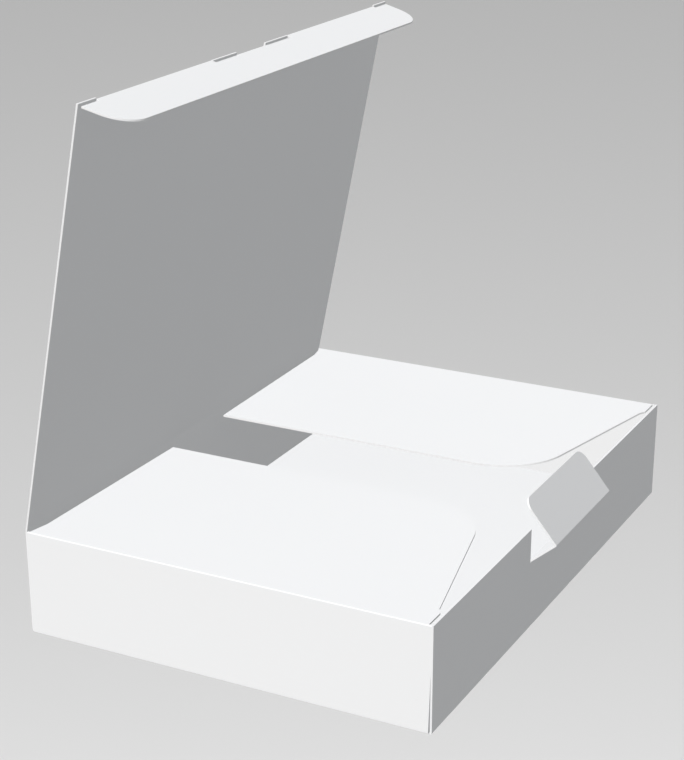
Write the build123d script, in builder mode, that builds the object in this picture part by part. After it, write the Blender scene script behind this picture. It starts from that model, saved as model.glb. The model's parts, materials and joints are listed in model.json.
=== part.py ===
# Mailer box of white board: a folded tray with its dust flaps, a lid, the lid's tuck flap and a lock tongue.
# Millimetres. +X is the right-hand wall, -Y the front wall with the tongue, +Y the back wall that carries the lid.
# The origin is the middle of the tray's underside. The lid stands open and the tongue stands out of the front wall.
import os
from math import atan2, cos, degrees, hypot, radians, sin, tan

from build123d import *

# Tray
box_width = 313.2
box_depth = 225.0
wall_height = 56.4
board = 1.0
side_fold_radius = 0.5
front_fold_radius = 0.8
back_fold_radius = 2.0

# Dust flaps, one folded in from the top of each side wall
flap_gap = 54.9
flap_back_gap = 5.6
flap_back_slant = 2.2
flap_back_corner = 12.8
flap_root_gap = 1.0
flap_nose_radius = 40.0
flap_front_angle = 12.45
shoulder_length = 13.5
shoulder_slope = 3.7
shoulder_step = 2.1
shoulder_gap = 1.8

# Glue flaps, folded in from the ends of the side walls and glued to the front and back walls
glue_flap_length = 28.0
glue_flap_taper = 12.0
front_glue_height = 28.8
back_glue_height = 52.5
corner_wedge_width = 0.9
corner_wedge_height = 32.0
corner_wedge_reach = 3.0

# Notch in the front wall, and the tongue that is cut from it: a base panel and a tip panel
notch_width = 78.0
notch_depth = 18.85
tongue_clearance = 0.3
tongue_base_length = 17.7
tongue_tip_length = 27.5
tongue_lean_angle = 49.3
tongue_turn_angle = 88.8
tongue_corner_radius = 6.5

# Lid, folded over from the back wall
lid_open_angle = 78.3
fold_gap = 0.2

# Tuck flap on the lid's front edge, with slits along its fold where the lid's edge stands proud
tuck_height = 26.1
tuck_turn_angle = 93.0
tuck_side_taper = 4.0
tuck_corner_radius = 16.5
tuck_side_clearance = 0.3
tuck_front_clearance = 0.35
proud_edge = 0.8
end_slit_length = 15.0
slit_gap = 0.25

# The fold's middle, which lies lower between two slits so that the tongue's tip finds room behind it
middle_slit_start = 14.7
middle_slit_end = 38.7
middle_fold_drop = 1.7
middle_setback = 2.6

# Places that follow from the sizes above
half_board = board / 2
half_width = box_width / 2
half_depth = box_depth / 2
inner_half_width = half_width - board
inner_half_depth = half_depth - board
hinge_y = half_depth - half_board
hinge_z = wall_height + fold_gap + half_board
tuck_axis_reach = hinge_y + inner_half_depth - tuck_front_clearance - half_board
lid_reach = tuck_axis_reach + half_board + proud_edge
middle_reach = tuck_axis_reach + half_board
crease_reach = half_board + slit_gap
slit_depth = half_board + proud_edge + slit_gap
tongue_axis_y = half_board - half_depth
tongue_axis_z = wall_height - notch_depth + fold_gap + half_board


# The middle plane of a panel that is hinged along X, its outside upwards at 0 and turned back by an angle
def panel_plane(y, z, opening):
    return Plane(
        origin=(0, y, z),
        x_dir=(1, 0, 0),
        z_dir=(0, sin(radians(opening)), cos(radians(opening))),
    )


# The far edge of such a panel, as (y, z)
def panel_end(y, z, opening, reach):
    return y - reach * cos(radians(opening)), z + reach * sin(radians(opening))


# Tray: bottom, side walls, dust flaps and glue flaps make a sleeve, and the front and back walls close it
with BuildPart() as box_tray:
    Box(
        box_width,
        2 * inner_half_depth,
        wall_height,
        align=(Align.CENTER, Align.CENTER, Align.MIN),
    )
    side_folds = box_tray.edges().filter_by(Axis.Y)
    fillet(side_folds, radius=side_fold_radius)
    with BuildSketch(Plane.XY.offset(board)):
        Rectangle(2 * inner_half_width, 2 * (inner_half_depth - board))
    extrude(amount=wall_height, mode=Mode.SUBTRACT)

    # Glue flaps taper towards their free ends, and the front ones stay below the tip of the tuck flap
    glue_end = half_width - glue_flap_length
    for side, glue_height in ((-1, front_glue_height), (1, back_glue_height)):
        with BuildSketch(Plane.XZ.offset(-side * inner_half_depth)):
            for hand in (-1, 1):
                with BuildLine():
                    Polyline(
                        (0, wall_height),
                        (hand * inner_half_width, wall_height),
                        (hand * inner_half_width, glue_height),
                        (hand * glue_end, glue_height - glue_flap_taper / 2),
                        (hand * glue_end, board + glue_flap_taper),
                        (hand * (inner_half_width - glue_flap_taper / 2), board),
                        (0, board),
                        close=True,
                    )
                make_face()
        extrude(amount=side * board, mode=Mode.SUBTRACT)

    # Dust flaps: a long panel with a round nose, a slanted front edge and a shoulder by the front wall
    shoulder_y = shoulder_gap - inner_half_depth
    step_x = half_width - shoulder_length - shoulder_slope
    step_y = shoulder_y + shoulder_step
    nose = (flap_gap / 2, step_y + (step_x - flap_gap / 2) * tan(radians(flap_front_angle)))
    back_edge_y = inner_half_depth - flap_back_gap
    with BuildSketch(Plane.XY.offset(wall_height - board)) as dust_flaps:
        with BuildLine():
            Polyline(
                nose,
                (step_x, step_y),
                (half_width - shoulder_length, shoulder_y),
                (inner_half_width, shoulder_y),
                (inner_half_width, inner_half_depth - flap_root_gap),
                (half_width - flap_back_corner, back_edge_y + flap_back_slant),
                (flap_gap / 2, back_edge_y),
                close=True,
            )
        make_face()
        fillet(dust_flaps.vertices().sort_by_distance((*nose, 0))[0], radius=flap_nose_radius)
        mirror(about=Plane.YZ)
    extrude(amount=board)

    # Front wall with its notch, and back wall
    with BuildSketch(Plane.XZ.offset(inner_half_depth)):
        Rectangle(box_width, wall_height, align=(Align.CENTER, Align.MIN))
        with Locations((0, wall_height)):
            Rectangle(notch_width, notch_depth, align=(Align.CENTER, Align.MAX), mode=Mode.SUBTRACT)
    extrude(amount=board)
    with BuildSketch(Plane.XZ.offset(-half_depth)):
        Rectangle(box_width, wall_height, align=(Align.CENTER, Align.MIN))
    extrude(amount=board)

    # Rounded folds under the front and back walls
    for side, fold_radius in ((-1, front_fold_radius), (1, back_fold_radius)):
        with BuildSketch(Plane.YZ):
            with Locations((side * (half_depth - fold_radius / 2), fold_radius / 2)):
                Rectangle(fold_radius, fold_radius)
            with Locations((side * (half_depth - fold_radius), fold_radius)):
                Circle(fold_radius, mode=Mode.SUBTRACT)
        extrude(amount=half_width, both=True, mode=Mode.SUBTRACT)

    # The front wall gapes away from the side walls towards its foot
    for hand in (-1, 1):
        with BuildSketch(Plane.YZ.offset(hand * half_width)):
            with BuildLine():
                Polyline(
                    (-inner_half_depth, 0),
                    (corner_wedge_width - inner_half_depth, 0),
                    (-inner_half_depth, corner_wedge_height),
                    close=True,
                )
            make_face()
        extrude(amount=-hand * corner_wedge_reach, mode=Mode.SUBTRACT)
box_tray.part.label = "box_tray"


# Lid: one panel with a round fold along the hinge, proud edges beside the slits and a recess for the middle fold
lid_plane = panel_plane(hinge_y, hinge_z, lid_open_angle)
tuck_axis_y, tuck_axis_z = panel_end(hinge_y, hinge_z, lid_open_angle, tuck_axis_reach)
with BuildPart() as lid:
    with BuildSketch(lid_plane.offset(-half_board)):
        Rectangle(box_width, tuck_axis_reach - crease_reach, align=(Align.CENTER, Align.MAX))
        for hand in (-1, 1):
            for slit_start, slit_end, edge_reach in (
                (middle_slit_start, middle_slit_end, middle_reach),
                (half_width - end_slit_length, half_width, lid_reach),
            ):
                with Locations((hand * (slit_start + slit_end) / 2, 0)):
                    Rectangle(slit_end - slit_start, edge_reach, align=(Align.CENTER, Align.MAX))
        with Locations((0, crease_reach - tuck_axis_reach)):
            Rectangle(
                2 * middle_slit_start,
                middle_fold_drop,
                align=(Align.CENTER, Align.MIN),
                mode=Mode.SUBTRACT,
            )
    extrude(amount=board)
    with Locations((0, hinge_y, hinge_z)):
        Cylinder(half_board, box_width, rotation=(0, 90, 0))
lid.part.label = "lid"


# Tuck flap: a shallow panel with round corners, cut back along the slits so that it can fold flat
tuck_half_width = inner_half_width - tuck_side_clearance
tuck_front_half_width = tuck_half_width - tuck_height * tan(radians(tuck_side_taper))
tuck_opening = lid_open_angle - tuck_turn_angle
side_fold_start = middle_slit_end + slit_gap
side_fold_end = half_width - end_slit_length - slit_gap
side_fold_middle = (side_fold_start + side_fold_end) / 2
with BuildPart() as tuck_flap:
    with BuildSketch(panel_plane(tuck_axis_y, tuck_axis_z, tuck_opening).offset(-half_board)) as tuck_outline:
        with BuildLine():
            Polyline(
                (-tuck_half_width, 0),
                (-tuck_front_half_width, -tuck_height),
                (tuck_front_half_width, -tuck_height),
                (tuck_half_width, 0),
                close=True,
            )
        make_face()
        fillet(tuck_outline.vertices().group_by(Axis.Y)[0], radius=tuck_corner_radius)
        Rectangle(
            2 * side_fold_start,
            middle_setback,
            align=(Align.CENTER, Align.MAX),
            mode=Mode.SUBTRACT,
        )
        for hand in (-1, 1):
            with Locations((hand * (side_fold_end + half_width) / 2, 0)):
                Rectangle(
                    half_width - side_fold_end,
                    slit_depth,
                    align=(Align.CENTER, Align.MAX),
                    mode=Mode.SUBTRACT,
                )
    extrude(amount=board)
    with Locations(
        (-side_fold_middle, tuck_axis_y, tuck_axis_z),
        (side_fold_middle, tuck_axis_y, tuck_axis_z),
    ):
        Cylinder(half_board, side_fold_end - side_fold_start, rotation=(0, 90, 0))

    # A sloping tab joins the panel to the lower fold in the middle
    tab_width = 2 * (middle_slit_start - slit_gap)
    tab_y, tab_z = panel_end(hinge_y, hinge_z, lid_open_angle, tuck_axis_reach - middle_fold_drop)
    panel_y, panel_z = panel_end(tuck_axis_y, tuck_axis_z, tuck_opening, middle_setback)
    tab_opening = degrees(atan2(panel_z - tab_z, tab_y - panel_y))
    with BuildSketch(panel_plane(tab_y, tab_z, tab_opening).offset(-half_board)):
        Rectangle(
            tab_width,
            hypot(panel_y - tab_y, panel_z - tab_z),
            align=(Align.CENTER, Align.MAX),
        )
    extrude(amount=board)
    with Locations((0, tab_y, tab_z), (0, panel_y, panel_z)):
        Cylinder(half_board, tab_width, rotation=(0, 90, 0))
tuck_flap.part.label = "tuck_flap"


# Lock tongue: a base panel that leans out of the notch and a tip panel folded back towards the box
tongue_width = notch_width - 2 * tongue_clearance
base_opening = 90 - tongue_lean_angle
tip_opening = base_opening + tongue_turn_angle
tip_fold_y, tip_fold_z = panel_end(tongue_axis_y, tongue_axis_z, base_opening, tongue_base_length)
with BuildPart() as lock_tongue:
    with BuildSketch(panel_plane(tongue_axis_y, tongue_axis_z, base_opening).offset(-half_board)):
        Rectangle(tongue_width, tongue_base_length, align=(Align.CENTER, Align.MAX))
    extrude(amount=board)
    with BuildSketch(panel_plane(tip_fold_y, tip_fold_z, tip_opening).offset(-half_board)) as tip_outline:
        Rectangle(tongue_width, tongue_tip_length, align=(Align.CENTER, Align.MAX))
        fillet(tip_outline.vertices().group_by(Axis.Y)[0], radius=tongue_corner_radius)
    extrude(amount=board)
    with Locations((0, tongue_axis_y, tongue_axis_z), (0, tip_fold_y, tip_fold_z)):
        Cylinder(half_board, tongue_width, rotation=(0, 90, 0))
lock_tongue.part.label = "lock_tongue"


print("hinge", hinge_y, hinge_z)
print("tuck fold", round(tuck_axis_y, 3), round(tuck_axis_z, 3))
print("tongue fold", tongue_axis_y, round(tongue_axis_z, 3))

os.makedirs("parts", exist_ok=True)
export_step(box_tray.part, "parts/box_tray.step")
export_step(lid.part, "parts/lid.step")
export_step(tuck_flap.part, "parts/tuck_flap.step")
export_step(lock_tongue.part, "parts/lock_tongue.step")
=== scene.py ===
# White mailer box: one sheet of thin corrugated board, folded, with its lid open.
# Metres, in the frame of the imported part: +X right-hand wall, -Y front wall, +Z up.
import bmesh
import bpy
import json
import math
from mathutils import Matrix, Vector


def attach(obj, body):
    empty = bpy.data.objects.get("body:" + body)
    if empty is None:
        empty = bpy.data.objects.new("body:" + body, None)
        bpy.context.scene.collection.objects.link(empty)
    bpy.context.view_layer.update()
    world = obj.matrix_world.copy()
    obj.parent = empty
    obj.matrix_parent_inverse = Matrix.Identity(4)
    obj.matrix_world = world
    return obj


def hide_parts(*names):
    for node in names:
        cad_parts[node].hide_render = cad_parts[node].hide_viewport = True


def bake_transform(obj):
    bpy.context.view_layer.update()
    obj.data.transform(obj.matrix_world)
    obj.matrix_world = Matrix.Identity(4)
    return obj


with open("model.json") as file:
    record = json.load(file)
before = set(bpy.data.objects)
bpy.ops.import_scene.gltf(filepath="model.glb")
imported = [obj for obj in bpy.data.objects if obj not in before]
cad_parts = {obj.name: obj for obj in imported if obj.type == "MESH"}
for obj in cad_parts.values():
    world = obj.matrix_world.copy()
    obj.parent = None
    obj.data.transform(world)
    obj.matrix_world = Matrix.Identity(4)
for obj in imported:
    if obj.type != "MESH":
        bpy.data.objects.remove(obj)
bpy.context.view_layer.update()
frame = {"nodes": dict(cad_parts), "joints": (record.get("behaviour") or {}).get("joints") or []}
mm = 0.001
print("frame loaded:", ", ".join(sorted(frame["nodes"])))


# Folds: a point on each hinge line, as the joints have them
foldLines = {joint["name"]: Vector(joint["pos_m"]) for joint in frame["joints"]}
tuckFold = foldLines["tuck_fold"]

boardSheet = {
    "thickness": 1.0 * mm,
    "cutRound": 0.07 * mm,  # how far a cut edge is rounded over
    "cutSteps": 2,
    "liner": (0.862, 0.870, 0.882),
    "cutCore": (0.862, 0.867, 0.873),
    "foldedLiner": (0.866, 0.874, 0.885),
}

# The grain of the paper and the waves of the flutes, the same in every finish
boardGrain = {
    "fibreSize": 1500.0,  # fibres in a metre
    "fibreDetail": 3.0,
    "fibreBreakup": 0.6,
    "acrossStretch": (1.0, 0.22, 0.6),  # half of the fibres lie one way
    "alongStretch": (0.25, 1.0, 0.8),  # and half the other
    "cloudSize": 14.0,  # clouds in a metre
    "cloudDetail": 3.0,
    "cloudBreakup": 0.55,
    "roughnessSpread": 0.12,  # how much rougher or smoother a fibre is
    "flutePitch": 2.4 * mm,
    "wobbleSize": 22.0,  # bends of a flute in a metre
    "wobbleDetail": 1.0,
}

linerLook = {
    "specular": 0.35,
    "roughness": 0.86,
    "fibreTint": 0.010,
    "cloudTint": 0.012,
    "fibreHeight": 0.006 * mm,
    "fluteWobble": 0.25,
    "fluteHeight": 0.002 * mm,
}

cutLook = {
    "specular": 0.2,
    "roughness": 0.94,
    "fibreTint": 0.05,
    "cloudTint": 0.02,
    "fibreHeight": 0.03 * mm,
    "fluteWobble": 0.1,
    "hollowPaintedShade": 0.97,  # how dark the painted shade in the hollows of the core is
}

foldLook = {
    "specular": 0.35,
    "roughness": 0.8,
    "fibreHeight": 0.012 * mm,
}


# Node groups

def newGroup(name, inputs, outputs):
    group = bpy.data.node_groups.new(name, "ShaderNodeTree")
    for label, kind, value in inputs:
        socket = group.interface.new_socket(name=label, in_out="INPUT", socket_type=kind)
        socket.default_value = value
    for label, kind in outputs:
        group.interface.new_socket(name=label, in_out="OUTPUT", socket_type=kind)
    return group, group.nodes.new("NodeGroupInput"), group.nodes.new("NodeGroupOutput")


def mathNode(tree, operation, first, second=None, clamp=False):
    node = tree.nodes.new("ShaderNodeMath")
    node.operation = operation
    node.use_clamp = clamp
    for index, value in enumerate((first, second)):
        if value is None:
            continue
        if isinstance(value, (int, float)):
            node.inputs[index].default_value = value
        else:
            tree.links.new(value, node.inputs[index])
    return node.outputs[0]


def noiseNode(tree, place, scale, detail, roughness=0.5, stretch=None):
    if stretch is not None:
        stretched = tree.nodes.new("ShaderNodeMapping")
        stretched.inputs["Scale"].default_value = stretch
        tree.links.new(place, stretched.inputs["Vector"])
        place = stretched.outputs["Vector"]
    node = tree.nodes.new("ShaderNodeTexNoise")
    node.inputs["Detail"].default_value = detail
    node.inputs["Roughness"].default_value = roughness
    tree.links.new(place, node.inputs["Vector"])
    if isinstance(scale, (int, float)):
        node.inputs["Scale"].default_value = scale
    else:
        tree.links.new(scale, node.inputs["Scale"])
    return node.outputs[0]


def rangeNode(tree, value, fromLow, fromHigh, toLow, toHigh):
    node = tree.nodes.new("ShaderNodeMapRange")
    tree.links.new(value, node.inputs["Value"])
    for label, number in (("From Min", fromLow), ("From Max", fromHigh), ("To Min", toLow), ("To Max", toHigh)):
        node.inputs[label].default_value = number
    return node.outputs[0]


def shadeColour(tree, colour, shade):
    node = tree.nodes.new("ShaderNodeVectorMath")
    node.operation = "SCALE"
    tree.links.new(colour, node.inputs[0])
    tree.links.new(shade, node.inputs["Scale"])
    return node.outputs[0]


# Fine paper fibres and the faint clouds that a white liner has
def makePaperFibre():
    group, given, out = newGroup(
        "paperFibre",
        [
            ("Color", "NodeSocketColor", (*boardSheet["liner"], 1)),
            ("Fibre Scale", "NodeSocketFloat", boardGrain["fibreSize"]),
            ("Fibre Tint", "NodeSocketFloat", linerLook["fibreTint"]),
            ("Cloud Tint", "NodeSocketFloat", linerLook["cloudTint"]),
            ("Roughness", "NodeSocketFloat", linerLook["roughness"]),
        ],
        [("Color", "NodeSocketColor"), ("Roughness", "NodeSocketFloat"), ("Height", "NodeSocketFloat")],
    )
    place = group.nodes.new("ShaderNodeTexCoord").outputs["Object"]
    halves = []
    for key in ("acrossStretch", "alongStretch"):
        strands = noiseNode(
            group,
            place,
            given.outputs["Fibre Scale"],
            boardGrain["fibreDetail"],
            boardGrain["fibreBreakup"],
            boardGrain[key],
        )
        halves.append(mathNode(group, "MULTIPLY", strands, 0.5))
    fibres = mathNode(group, "ADD", *halves)
    fromMiddle = mathNode(group, "SUBTRACT", fibres, 0.5)
    clouds = noiseNode(group, place, boardGrain["cloudSize"], boardGrain["cloudDetail"], boardGrain["cloudBreakup"])
    cloudFromMiddle = mathNode(group, "SUBTRACT", clouds, 0.5)
    fibreShade = mathNode(group, "MULTIPLY", fromMiddle, given.outputs["Fibre Tint"])
    cloudShade = mathNode(group, "MULTIPLY", cloudFromMiddle, given.outputs["Cloud Tint"])
    shade = mathNode(group, "ADD", mathNode(group, "ADD", fibreShade, cloudShade), 1.0)
    spread = mathNode(group, "MULTIPLY", fromMiddle, boardGrain["roughnessSpread"])
    rough = mathNode(group, "ADD", given.outputs["Roughness"], spread, clamp=True)
    group.links.new(shadeColour(group, given.outputs["Color"], shade), out.inputs["Color"])
    group.links.new(rough, out.inputs["Roughness"])
    group.links.new(fibres, out.inputs["Height"])
    return group


# The flutes under the liner show as very shallow waves across the board, running from front to back
def makeFluteWaves():
    group, given, out = newGroup(
        "fluteWaves",
        [
            ("Pitch", "NodeSocketFloat", boardGrain["flutePitch"]),
            ("Wobble", "NodeSocketFloat", linerLook["fluteWobble"]),
        ],
        [("Height", "NodeSocketFloat"), ("Mask", "NodeSocketFloat")],
    )
    place = group.nodes.new("ShaderNodeTexCoord").outputs["Object"]
    split = group.nodes.new("ShaderNodeSeparateXYZ")
    group.links.new(place, split.inputs[0])
    bends = noiseNode(group, place, boardGrain["wobbleSize"], boardGrain["wobbleDetail"])
    wobble = mathNode(group, "MULTIPLY", bends, given.outputs["Wobble"])
    pitches = mathNode(group, "DIVIDE", split.outputs["X"], given.outputs["Pitch"])
    turns = mathNode(group, "ADD", pitches, wobble)
    wave = mathNode(group, "SINE", mathNode(group, "MULTIPLY", turns, 2 * math.pi))
    group.links.new(wave, out.inputs["Height"])
    # the mask is lowest where the cut edge gets its painted shade
    group.links.new(rangeNode(group, wave, -1.0, 1.0, 0.0, 1.0), out.inputs["Mask"])
    return group


groups = {"paperFibre": makePaperFibre(), "fluteWaves": makeFluteWaves()}


def placeGroup(tree, name, **values):
    node = tree.nodes.new("ShaderNodeGroup")
    node.node_tree = groups[name]
    for label, value in values.items():
        node.inputs[label.replace("_", " ")].default_value = value
    return node


# Materials

def startMaterial(name, specular):
    material = bpy.data.materials.new(name)
    material.use_nodes = True
    tree = material.node_tree
    shader = tree.nodes["Principled BSDF"]
    shader.inputs["Specular IOR Level"].default_value = specular
    return material, tree, shader


def addFinish(tree, shader, colour, roughness, *heights):
    # each height comes with the depth of its relief in metres
    total = None
    for socket, depth in heights:
        scaled = mathNode(tree, "MULTIPLY", socket, depth)
        total = scaled if total is None else mathNode(tree, "ADD", total, scaled)
    bump = tree.nodes.new("ShaderNodeBump")
    bump.inputs["Distance"].default_value = 1.0
    bump.inputs["Strength"].default_value = 1.0
    tree.links.new(total, bump.inputs["Height"])
    tree.links.new(colour, shader.inputs["Base Color"])
    tree.links.new(roughness, shader.inputs["Roughness"])
    tree.links.new(bump.outputs["Normal"], shader.inputs["Normal"])


def makeLiner():
    material, tree, shader = startMaterial("whiteLiner", linerLook["specular"])
    paper = placeGroup(tree, "paperFibre", Color=(*boardSheet["liner"], 1)).outputs
    flutes = placeGroup(tree, "fluteWaves").outputs
    relief = (paper["Height"], linerLook["fibreHeight"]), (flutes["Height"], linerLook["fluteHeight"])
    addFinish(tree, shader, paper["Color"], paper["Roughness"], *relief)
    return material


def makeCutEdge():
    # two liners with the fluted core between them, seen end on, with painted shade darkening the hollows between
    # the flutes
    material, tree, shader = startMaterial("cutBoardEdge", cutLook["specular"])
    paper = placeGroup(
        tree,
        "paperFibre",
        Color=(*boardSheet["cutCore"], 1),
        Fibre_Tint=cutLook["fibreTint"],
        Cloud_Tint=cutLook["cloudTint"],
        Roughness=cutLook["roughness"],
    ).outputs
    flutes = placeGroup(tree, "fluteWaves", Wobble=cutLook["fluteWobble"]).outputs
    # painted shade: the colour is darkened in the hollows between the flutes
    paintedHollowShade = rangeNode(tree, flutes["Mask"], 0.0, 1.0, cutLook["hollowPaintedShade"], 1.0)
    colour = shadeColour(tree, paper["Color"], paintedHollowShade)
    addFinish(tree, shader, colour, paper["Roughness"], (paper["Height"], cutLook["fibreHeight"]))
    return material


def makeFoldedLiner():
    # stretched over a fold: smoother and a little lighter
    material, tree, shader = startMaterial("foldedLiner", foldLook["specular"])
    colour = (*boardSheet["foldedLiner"], 1)
    paper = placeGroup(tree, "paperFibre", Color=colour, Roughness=foldLook["roughness"]).outputs
    addFinish(tree, shader, paper["Color"], paper["Roughness"], (paper["Height"], foldLook["fibreHeight"]))
    return material


materials = {"liner": makeLiner(), "cut": makeCutEdge(), "fold": makeFoldedLiner()}
materialOrder = ["liner", "cut", "fold"]
print("materials made:", ", ".join(materials[key].name for key in materialOrder))


# Pieces: the board of each folded part, with rounded cut edges

halfBoard = boardSheet["thickness"] / 2
linerFace, cutFace, foldFace = range(3)  # places in materialOrder

# How each panel points at rest, in degrees up from straight towards the front
leans = {"wallDown": -90.0, "lid": 78.3, "lidDown": -101.7, "tuck": -14.7, "tongue": 40.7}

# How faces and edges of the board are told apart, with angles in degrees
boardRules = {
    "sameCorner": 0.002 * mm,  # points as near as this are one corner
    "sameFace": 0.5,  # faces that turn less than this are one flat face
    "narrowFace": 1.3,  # a face up to this many thicknesses wide is cut board or a fold
    "foldTurn": 35,  # a fold turns less than this into its neighbour
    "foldShare": 0.9,  # along this share of its length
    "foldLength": 10 * mm,  # and is longer than this
    "sharpTurn": 25.0,  # an edge that turns more is rounded over
    "smoothTurn": 60,  # an edge that turns less is shaded smooth
    "straightTurn": 1,  # a strip that turns less runs straight on
    "arcTurn": 12,  # the most that one step round a bend turns
}


def pointing(panel):
    angle = math.radians(leans[panel])
    return Vector((0, -math.cos(angle), math.sin(angle)))


def turnsLess(edge, degrees):
    return len(edge.link_faces) == 2 and edge.calc_face_angle(0) < math.radians(degrees)


def cleanBoard(node):
    # the part's own shape as flat faces with shared corners
    board = bmesh.new()
    board.from_mesh(frame["nodes"][node].data)
    bmesh.ops.remove_doubles(board, verts=board.verts, dist=boardRules["sameCorner"])
    flat = math.radians(boardRules["sameFace"])
    bmesh.ops.dissolve_limit(board, angle_limit=flat, verts=board.verts, edges=board.edges)
    return board


def trimBoard(board, fold, panel, reach):
    # cuts a panel back from its fold, where a bent strip takes its place
    cut = bmesh.ops.bisect_plane(
        board,
        geom=board.verts[:] + board.edges[:] + board.faces[:],
        plane_co=fold + pointing(panel) * reach,
        plane_no=pointing(panel),
        clear_inner=True,
    )
    rim = [item for item in cut["geom_cut"] if isinstance(item, bmesh.types.BMEdge)]
    bmesh.ops.edgeloop_fill(board, edges=rim)
    bmesh.ops.recalc_face_normals(board, faces=board.faces)


def paintFaces(board):
    # narrow faces are cut board, or folds where they are long and run on smoothly
    for face in board.faces:
        longest = max(edge.calc_length() for edge in face.edges)
        if face.calc_area() / longest > boardRules["narrowFace"] * boardSheet["thickness"]:
            face.material_index = linerFace
            continue
        runsOn = any(
            edge.calc_length() > boardRules["foldShare"] * longest and turnsLess(edge, boardRules["foldTurn"])
            for edge in face.edges
        )
        face.material_index = foldFace if runsOn and longest > boardRules["foldLength"] else cutFace


def roundCuts(board, edges):
    bmesh.ops.bevel(
        board,
        geom=edges,
        offset=boardSheet["cutRound"],
        offset_type="OFFSET",
        segments=boardSheet["cutSteps"],
        profile=0.5,
        affect="EDGES",
        clamp_overlap=True,
    )
    for edge in board.edges:
        edge.smooth = turnsLess(edge, boardRules["smoothTurn"])


def finishPiece(name, board):
    mesh = bpy.data.meshes.new(name)
    board.to_mesh(mesh)
    board.free()
    for key in materialOrder:
        mesh.materials.append(materials[key])
    piece = bpy.data.objects.new(name, mesh)
    bpy.context.scene.collection.objects.link(piece)
    for face in mesh.polygons:
        face.use_smooth = True
    weighted = piece.modifiers.new("flat faces stay flat", "WEIGHTED_NORMAL")
    weighted.keep_sharp = True
    print("piece made:", name, len(mesh.polygons), "faces")
    return piece


tuckPanel = {
    "halfWidth": 155.3 * mm,
    "height": 26.1 * mm,
    "sideTaper": 4.0,  # degrees
    "cornerRadius": 16.5 * mm,
    "cornerSteps": 18,
    "slitDepth": 1.55 * mm,
    "creaseInner": 38.95 * mm,
    "creaseOuter": 141.35 * mm,
    "creaseStart": 0.75 * mm,
}

# Creases: a short bent strip carries the board from one body to the next
creases = {
    "lid_crease": {
        "fold": foldLines["lid_hinge"],
        "bodies": ("tray", "lid"),
        "panels": ("wallDown", "lid"),
        "reach": 0.70 * mm,  # how far the strip goes into both panels
        "rows": (0.45 * mm, 0.22 * mm),
        "span": (-156.6 * mm, 156.6 * mm),
    },
    "tuck_crease_left": {
        "fold": tuckFold,
        "bodies": ("lid", "tuck"),
        "panels": ("lidDown", "tuck"),
        "reach": tuckPanel["creaseStart"],
        "rows": (),
        "span": (-tuckPanel["creaseOuter"], -tuckPanel["creaseInner"]),
    },
    "tuck_crease_right": {
        "fold": tuckFold,
        "bodies": ("lid", "tuck"),
        "panels": ("lidDown", "tuck"),
        "reach": tuckPanel["creaseStart"],
        "rows": (),
        "span": (tuckPanel["creaseInner"], tuckPanel["creaseOuter"]),
    },
    "tongue_crease": {
        "fold": foldLines["tongue_fold"],
        "bodies": ("tray", "tongue"),
        "panels": ("wallDown", "tongue"),
        "reach": 0.70 * mm,
        "rows": (),
        "span": (-38.7 * mm, 38.7 * mm),
    },
}

# The middle of the tuck flap's crease lies lower, between two slits
middleCrease = {
    "halfWidth": 14.45 * mm,
    "drop": 1.70 * mm,  # how far down the lid it bends
    "lidEnd": 2.45 * mm,
    "setback": 2.60 * mm,  # how far out on the tuck flap it bends
    "panelStart": 2.90 * mm,
    "rows": 4,
}

# Where a strip carries the board on: a point on the seam, how near it a corner has to be,
# and from where to where it runs on each side of the middle
seams = [
    {"at": foldLines["lid_hinge"], "near": 1.0 * mm, "from": 0.0, "to": 157 * mm},
    {"at": foldLines["tongue_fold"], "near": 1.0 * mm, "from": 0.0, "to": 39.1 * mm},
    {"at": tuckFold, "near": 1.0 * mm, "from": 38.6 * mm, "to": 141.7 * mm},
    {
        "at": tuckFold + pointing("lidDown") * middleCrease["lidEnd"],
        "near": 0.6 * mm,
        "from": 0.0,
        "to": 14.8 * mm,
    },
    {
        "at": tuckFold + pointing("tuck") * middleCrease["panelStart"],
        "near": 0.6 * mm,
        "from": 0.0,
        "to": 14.6 * mm,
    },
]


def atSeam(vert):
    return any(
        seam["from"] <= abs(vert.co.x) <= seam["to"]
        and math.hypot(vert.co.y - seam["at"].y, vert.co.z - seam["at"].z) < seam["near"]
        for seam in seams
    )


def cutEdges(board):
    # the sharp edges, except those on a seam
    return [
        edge
        for edge in board.edges
        if len(edge.link_faces) == 2
        and edge.calc_face_angle(0) > math.radians(boardRules["sharpTurn"])
        and not all(atSeam(vert) for vert in edge.verts)
    ]


def sideways(travel):
    return Vector((0, -travel.z, travel.y))


def stripOutline(path):
    # both faces of a bent board: an arc round the outside of each bend and a corner on its inside
    left, right = [], []
    for index, point in enumerate(path):
        before = (point - path[index - 1]).normalized() if index else None
        after = (path[index + 1] - point).normalized() if index + 1 < len(path) else None
        bend = 0.0
        if before and after:
            bend = math.atan2(before.y * after.z - before.z * after.y, before.dot(after))
        middle = (sideways(before or after) + sideways(after or before)).normalized()
        if abs(bend) < math.radians(boardRules["straightTurn"]):
            left.append(point + middle * halfBoard)
            right.append(point - middle * halfBoard)
            continue
        inner, outer, side = (left, right, -1) if bend > 0 else (right, left, 1)
        inner.append(point - middle * (side * halfBoard / math.cos(bend / 2)))
        steps = math.ceil(abs(bend) / math.radians(boardRules["arcTurn"]))
        for step in range(steps + 1):
            turned = Matrix.Rotation(bend * step / steps, 3, "X") @ sideways(before)
            outer.append(point + turned * (side * halfBoard))
    return left + right[::-1], len(left)


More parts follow.
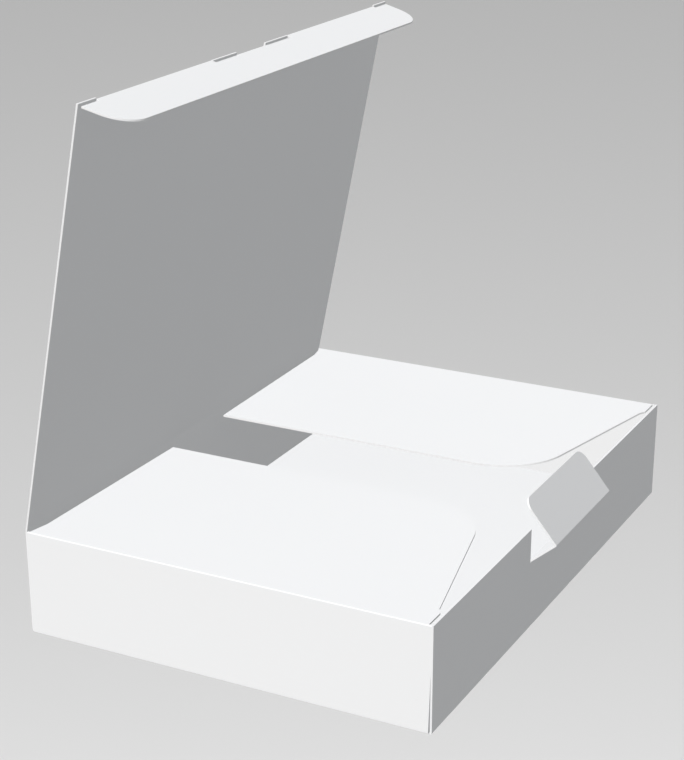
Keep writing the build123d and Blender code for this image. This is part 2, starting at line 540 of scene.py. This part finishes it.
def makeCrease(name, path, span):
    outline, leftCount = stripOutline(path)
    board = bmesh.new()
    rims = [[board.verts.new((x, point.y, point.z)) for point in outline] for x in span]
    seamVerts = {rim[index] for rim in rims for index in (0, leftCount - 1, leftCount, -1)}
    near, far = rims
    for index in range(len(outline)):
        following = (index + 1) % len(outline)
        side = board.faces.new((near[index], near[following], far[following], far[index]))
        side.material_index = foldFace
    caps = [board.faces.new(rim) for rim in rims]
    for cap in caps:
        cap.material_index = cutFace
    bmesh.ops.recalc_face_normals(board, faces=board.faces)
    roundCuts(board, [edge for cap in caps for edge in cap.edges if not seamVerts.issuperset(edge.verts)])
    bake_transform(finishPiece(name, board))


def makePanel(outline, fold, panel):
    # a flat panel: its outline gives the place along the fold and the distance from it
    along = pointing(panel)
    out = Vector((0, along.z, -along.y)) * halfBoard
    board = bmesh.new()
    middle = [fold + Vector((x, 0, 0)) + along * distance for x, distance in outline]
    upper = [board.verts.new(point + out) for point in middle]
    lower = [board.verts.new(point - out) for point in middle]
    board.faces.new(upper).material_index = linerFace
    board.faces.new(lower[::-1]).material_index = linerFace
    for index in range(len(outline)):
        following = (index + 1) % len(outline)
        side = board.faces.new((upper[index], lower[index], lower[following], upper[following]))
        side.material_index = cutFace
    bmesh.ops.recalc_face_normals(board, faces=board.faces)
    return board


def tuckOutline():
    taper = math.radians(tuckPanel["sideTaper"])
    radius = tuckPanel["cornerRadius"]
    cornerOut = tuckPanel["height"] - radius
    cornerX = tuckPanel["halfWidth"] - cornerOut * math.tan(taper) - radius / math.cos(taper)
    half = [
        (middleCrease["halfWidth"], middleCrease["panelStart"]),
        (middleCrease["halfWidth"], middleCrease["setback"]),
        (tuckPanel["creaseInner"], middleCrease["setback"]),
        (tuckPanel["creaseInner"], tuckPanel["creaseStart"]),
        (tuckPanel["creaseOuter"], tuckPanel["creaseStart"]),
        (tuckPanel["creaseOuter"], tuckPanel["slitDepth"]),
        (tuckPanel["halfWidth"] - tuckPanel["slitDepth"] * math.tan(taper), tuckPanel["slitDepth"]),
    ]
    for step in range(tuckPanel["cornerSteps"] + 1):
        angle = taper + (math.pi / 2 - taper) * step / tuckPanel["cornerSteps"]
        half.append((cornerX + radius * math.cos(angle), cornerOut + radius * math.sin(angle)))
    return half + [(-x, distance) for x, distance in reversed(half)]


boards = {
    "tray_sheet": ("box_tray", "tray", cleanBoard("box_tray")),
    "lid_panel": ("lid", "lid", cleanBoard("lid")),
    "tuck_panel": ("tuck_flap", "tuck", makePanel(tuckOutline(), tuckFold, "tuck")),
    "tongue_panels": ("lock_tongue", "tongue", cleanBoard("lock_tongue")),
}
trimBoard(boards["lid_panel"][2], foldLines["lid_hinge"], "lid", creases["lid_crease"]["reach"])
trimBoard(boards["tongue_panels"][2], foldLines["tongue_fold"], "tongue", creases["tongue_crease"]["reach"])
for name, (node, body, board) in boards.items():
    if name != "tuck_panel":
        paintFaces(board)
    roundCuts(board, cutEdges(board))
    piece = finishPiece(name, board)
    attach(piece, body)
    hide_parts(node)

for name, crease in creases.items():
    fold = crease["fold"]
    before, after = (pointing(panel) for panel in crease["panels"])
    distances = (crease["reach"], *crease["rows"])
    path = [fold + before * distance for distance in distances]
    path += [fold]
    path += [fold + after * distance for distance in reversed(distances)]
    # the turn happens between the two seams, so that each of them stays with its own panel
    across = after - before
    across.normalize()
    makeCrease(name, path, crease["span"])

lowFold = tuckFold + pointing("lidDown") * middleCrease["drop"]
panelEdge = tuckFold + pointing("tuck") * middleCrease["setback"]
path = [tuckFold + pointing("lidDown") * middleCrease["lidEnd"]]
path += [lowFold.lerp(panelEdge, row / middleCrease["rows"]) for row in range(middleCrease["rows"] + 1)]
path += [tuckFold + pointing("tuck") * middleCrease["panelStart"]]
span = (-middleCrease["halfWidth"], middleCrease["halfWidth"])
makeCrease("tuck_crease_middle", path, span)
print("board made: four pieces and", len(creases) + 1, "creases")


# Floor, light and camera

studio = {
    "floorHalf": 9.0,
    # floorNear and floorFar are the two ends of a painted light fall-off
    "floorNear": (0.696, 0.696, 0.696),
    "floorFar": (0.360, 0.360, 0.360),
    "fadeStart": 0.96,  # metres in front of the box's middle, from where the painted fall-off is measured
    "fadeNearest": 0.3,  # metres from there, the least that counts
    "fadeWidth": 0.393,  # metres, more keeps the floor pale for longer
    "fadePalest": 0.5276,  # width over distance at which the floor is palest
    "skyGain": 1.04,  # carries the floor's painted fall-off on above its far edge
    "ambient": 0.025,  # strength of the even sky
    "lampSpread": 20,  # degrees
    # where each lamp stands, what it adds to a face that looks straight at it, and its tint
    "lamps": {
        "topLamp": ((0.0, 0.360, 0.933), 1.047, (1.0, 1.0, 1.0)),
        "sideLamp": ((-1.0, 0.0, 0.0), 0.927, (1.0, 0.992, 0.980)),
        "frontFill": ((0.0, -1.0, 0.0), 0.339, (0.992, 1.0, 1.005)),
        "backFill": ((0.80, 0.30, -0.52), 0.45, (1.0, 1.0, 1.0)),
    },
}

cameraSetup = {
    "place": (-0.85591, -0.42710, 0.45666),
    "azimuth": -62.331,  # degrees about Z, 0 looks along +Y
    "down": 22.619,
    "roll": -0.294,
    "picture": (684, 760),
    "centre": (330.5, 460.5),  # where the optical axis meets the picture
    "focalLength": 1907.9,  # in the picture's pixels
    "sensor": 36,
    "clip": (0.01, 100),
}


def paintedFalloffColour(tree, place, reach, gain):
    # painted light fall-off: pale in front of the box and painted greyer away behind it
    azimuth = math.radians(cameraSetup["azimuth"])
    along = tree.nodes.new("ShaderNodeVectorMath")
    along.operation = "DOT_PRODUCT"
    along.inputs[1].default_value = (-math.sin(azimuth) * reach, math.cos(azimuth) * reach, 0)
    tree.links.new(place, along.inputs[0])
    distance = mathNode(tree, "ADD", along.outputs["Value"], studio["fadeStart"])
    distance = mathNode(tree, "MAXIMUM", distance, studio["fadeNearest"])
    near = mathNode(tree, "DIVIDE", studio["fadeWidth"], distance)
    blend = tree.nodes.new("ShaderNodeMix")
    blend.data_type = "RGBA"
    tree.links.new(rangeNode(tree, near, 0.0, studio["fadePalest"], 0.0, 1.0), blend.inputs["Factor"])
    for label, key in (("A", "floorFar"), ("B", "floorNear")):
        blend.inputs[label].default_value = (*(shade * gain for shade in studio[key]), 1)
    return blend.outputs["Result"]


def makeFloor():
    half = studio["floorHalf"]
    mesh = bpy.data.meshes.new("studioFloor")
    mesh.from_pydata([(-half, -half, 0), (half, -half, 0), (half, half, 0), (-half, half, 0)], [], [(0, 1, 2, 3)])
    floor = bpy.data.objects.new("studioFloor", mesh)
    bpy.context.scene.collection.objects.link(floor)
    material, tree, shader = startMaterial("studioGrey", 0.0)
    shader.inputs["Roughness"].default_value = 1.0
    place = tree.nodes.new("ShaderNodeTexCoord").outputs["Object"]
    # the floor's colour holds a painted light fall-off, greyer with distance
    tree.links.new(paintedFalloffColour(tree, place, 1.0, 1.0), shader.inputs["Base Color"])
    mesh.materials.append(material)


def makeWorld():
    # a weak even sky lights the box, and the floor's painted fall-off is seen above its far edge
    world = bpy.data.worlds.new("studioWorld")
    bpy.context.scene.world = world
    world.use_nodes = True
    tree = world.node_tree
    tree.nodes.clear()
    seen = tree.nodes.new("ShaderNodeBackground")
    direction = tree.nodes.new("ShaderNodeTexCoord").outputs["Generated"]
    tree.links.new(paintedFalloffColour(tree, direction, studio["floorHalf"], studio["skyGain"]), seen.inputs["Color"])
    light = tree.nodes.new("ShaderNodeBackground")
    light.inputs["Color"].default_value = (1, 1, 1, 1)
    light.inputs["Strength"].default_value = studio["ambient"]
    rays = tree.nodes.new("ShaderNodeLightPath").outputs
    mirrored = mathNode(tree, "MAXIMUM", rays["Is Glossy Ray"], rays["Is Transmission Ray"])
    direct = mathNode(tree, "MAXIMUM", rays["Is Camera Ray"], mirrored)
    mix = tree.nodes.new("ShaderNodeMixShader")
    out = tree.nodes.new("ShaderNodeOutputWorld")
    tree.links.new(direct, mix.inputs[0])
    tree.links.new(light.outputs[0], mix.inputs[1])
    tree.links.new(seen.outputs[0], mix.inputs[2])
    tree.links.new(mix.outputs[0], out.inputs["Surface"])


def makeLamps():
    # even studio light without hard shadows; the world adds the soft ones
    for name, (place, level, tint) in studio["lamps"].items():
        lamp = bpy.data.lights.new(name, "SUN")
        lamp.energy = level * math.pi
        lamp.color = tint
        lamp.angle = math.radians(studio["lampSpread"])
        lamp.use_shadow = False
        lamp.cycles.max_bounces = 0
        light = bpy.data.objects.new(name, lamp)
        bpy.context.scene.collection.objects.link(light)
        light.rotation_mode = "QUATERNION"
        light.rotation_quaternion = Vector(place).to_track_quat("Z", "Y")


def makeCamera():
    data = bpy.data.cameras.new("camera")
    camera = bpy.data.objects.new("camera", data)
    bpy.context.scene.collection.objects.link(camera)
    azimuth, down, roll = (math.radians(cameraSetup[key]) for key in ("azimuth", "down", "roll"))
    forward = Vector((-math.sin(azimuth) * math.cos(down), math.cos(azimuth) * math.cos(down), -math.sin(down)))
    right = forward.cross(Vector((0, 0, 1))).normalized()
    up = right.cross(forward)
    rolledRight = right * math.cos(roll) + up * math.sin(roll)
    rolledUp = up * math.cos(roll) - right * math.sin(roll)
    turn = Matrix((rolledRight, rolledUp, -forward)).transposed()
    camera.matrix_world = Matrix.Translation(cameraSetup["place"]) @ turn.to_4x4()
    wide, high = cameraSetup["picture"]
    data.sensor_width = cameraSetup["sensor"]
    data.lens = cameraSetup["focalLength"] / high * cameraSetup["sensor"]
    data.shift_x = (wide / 2 - cameraSetup["centre"][0]) / high
    data.shift_y = (cameraSetup["centre"][1] - high / 2) / high
    data.clip_start, data.clip_end = cameraSetup["clip"]
    bpy.context.scene.camera = camera


makeFloor()
makeWorld()
makeLamps()
makeCamera()
bpy.context.scene.view_settings.view_transform = "Standard"
print("studio made: floor, world, lamps and camera")
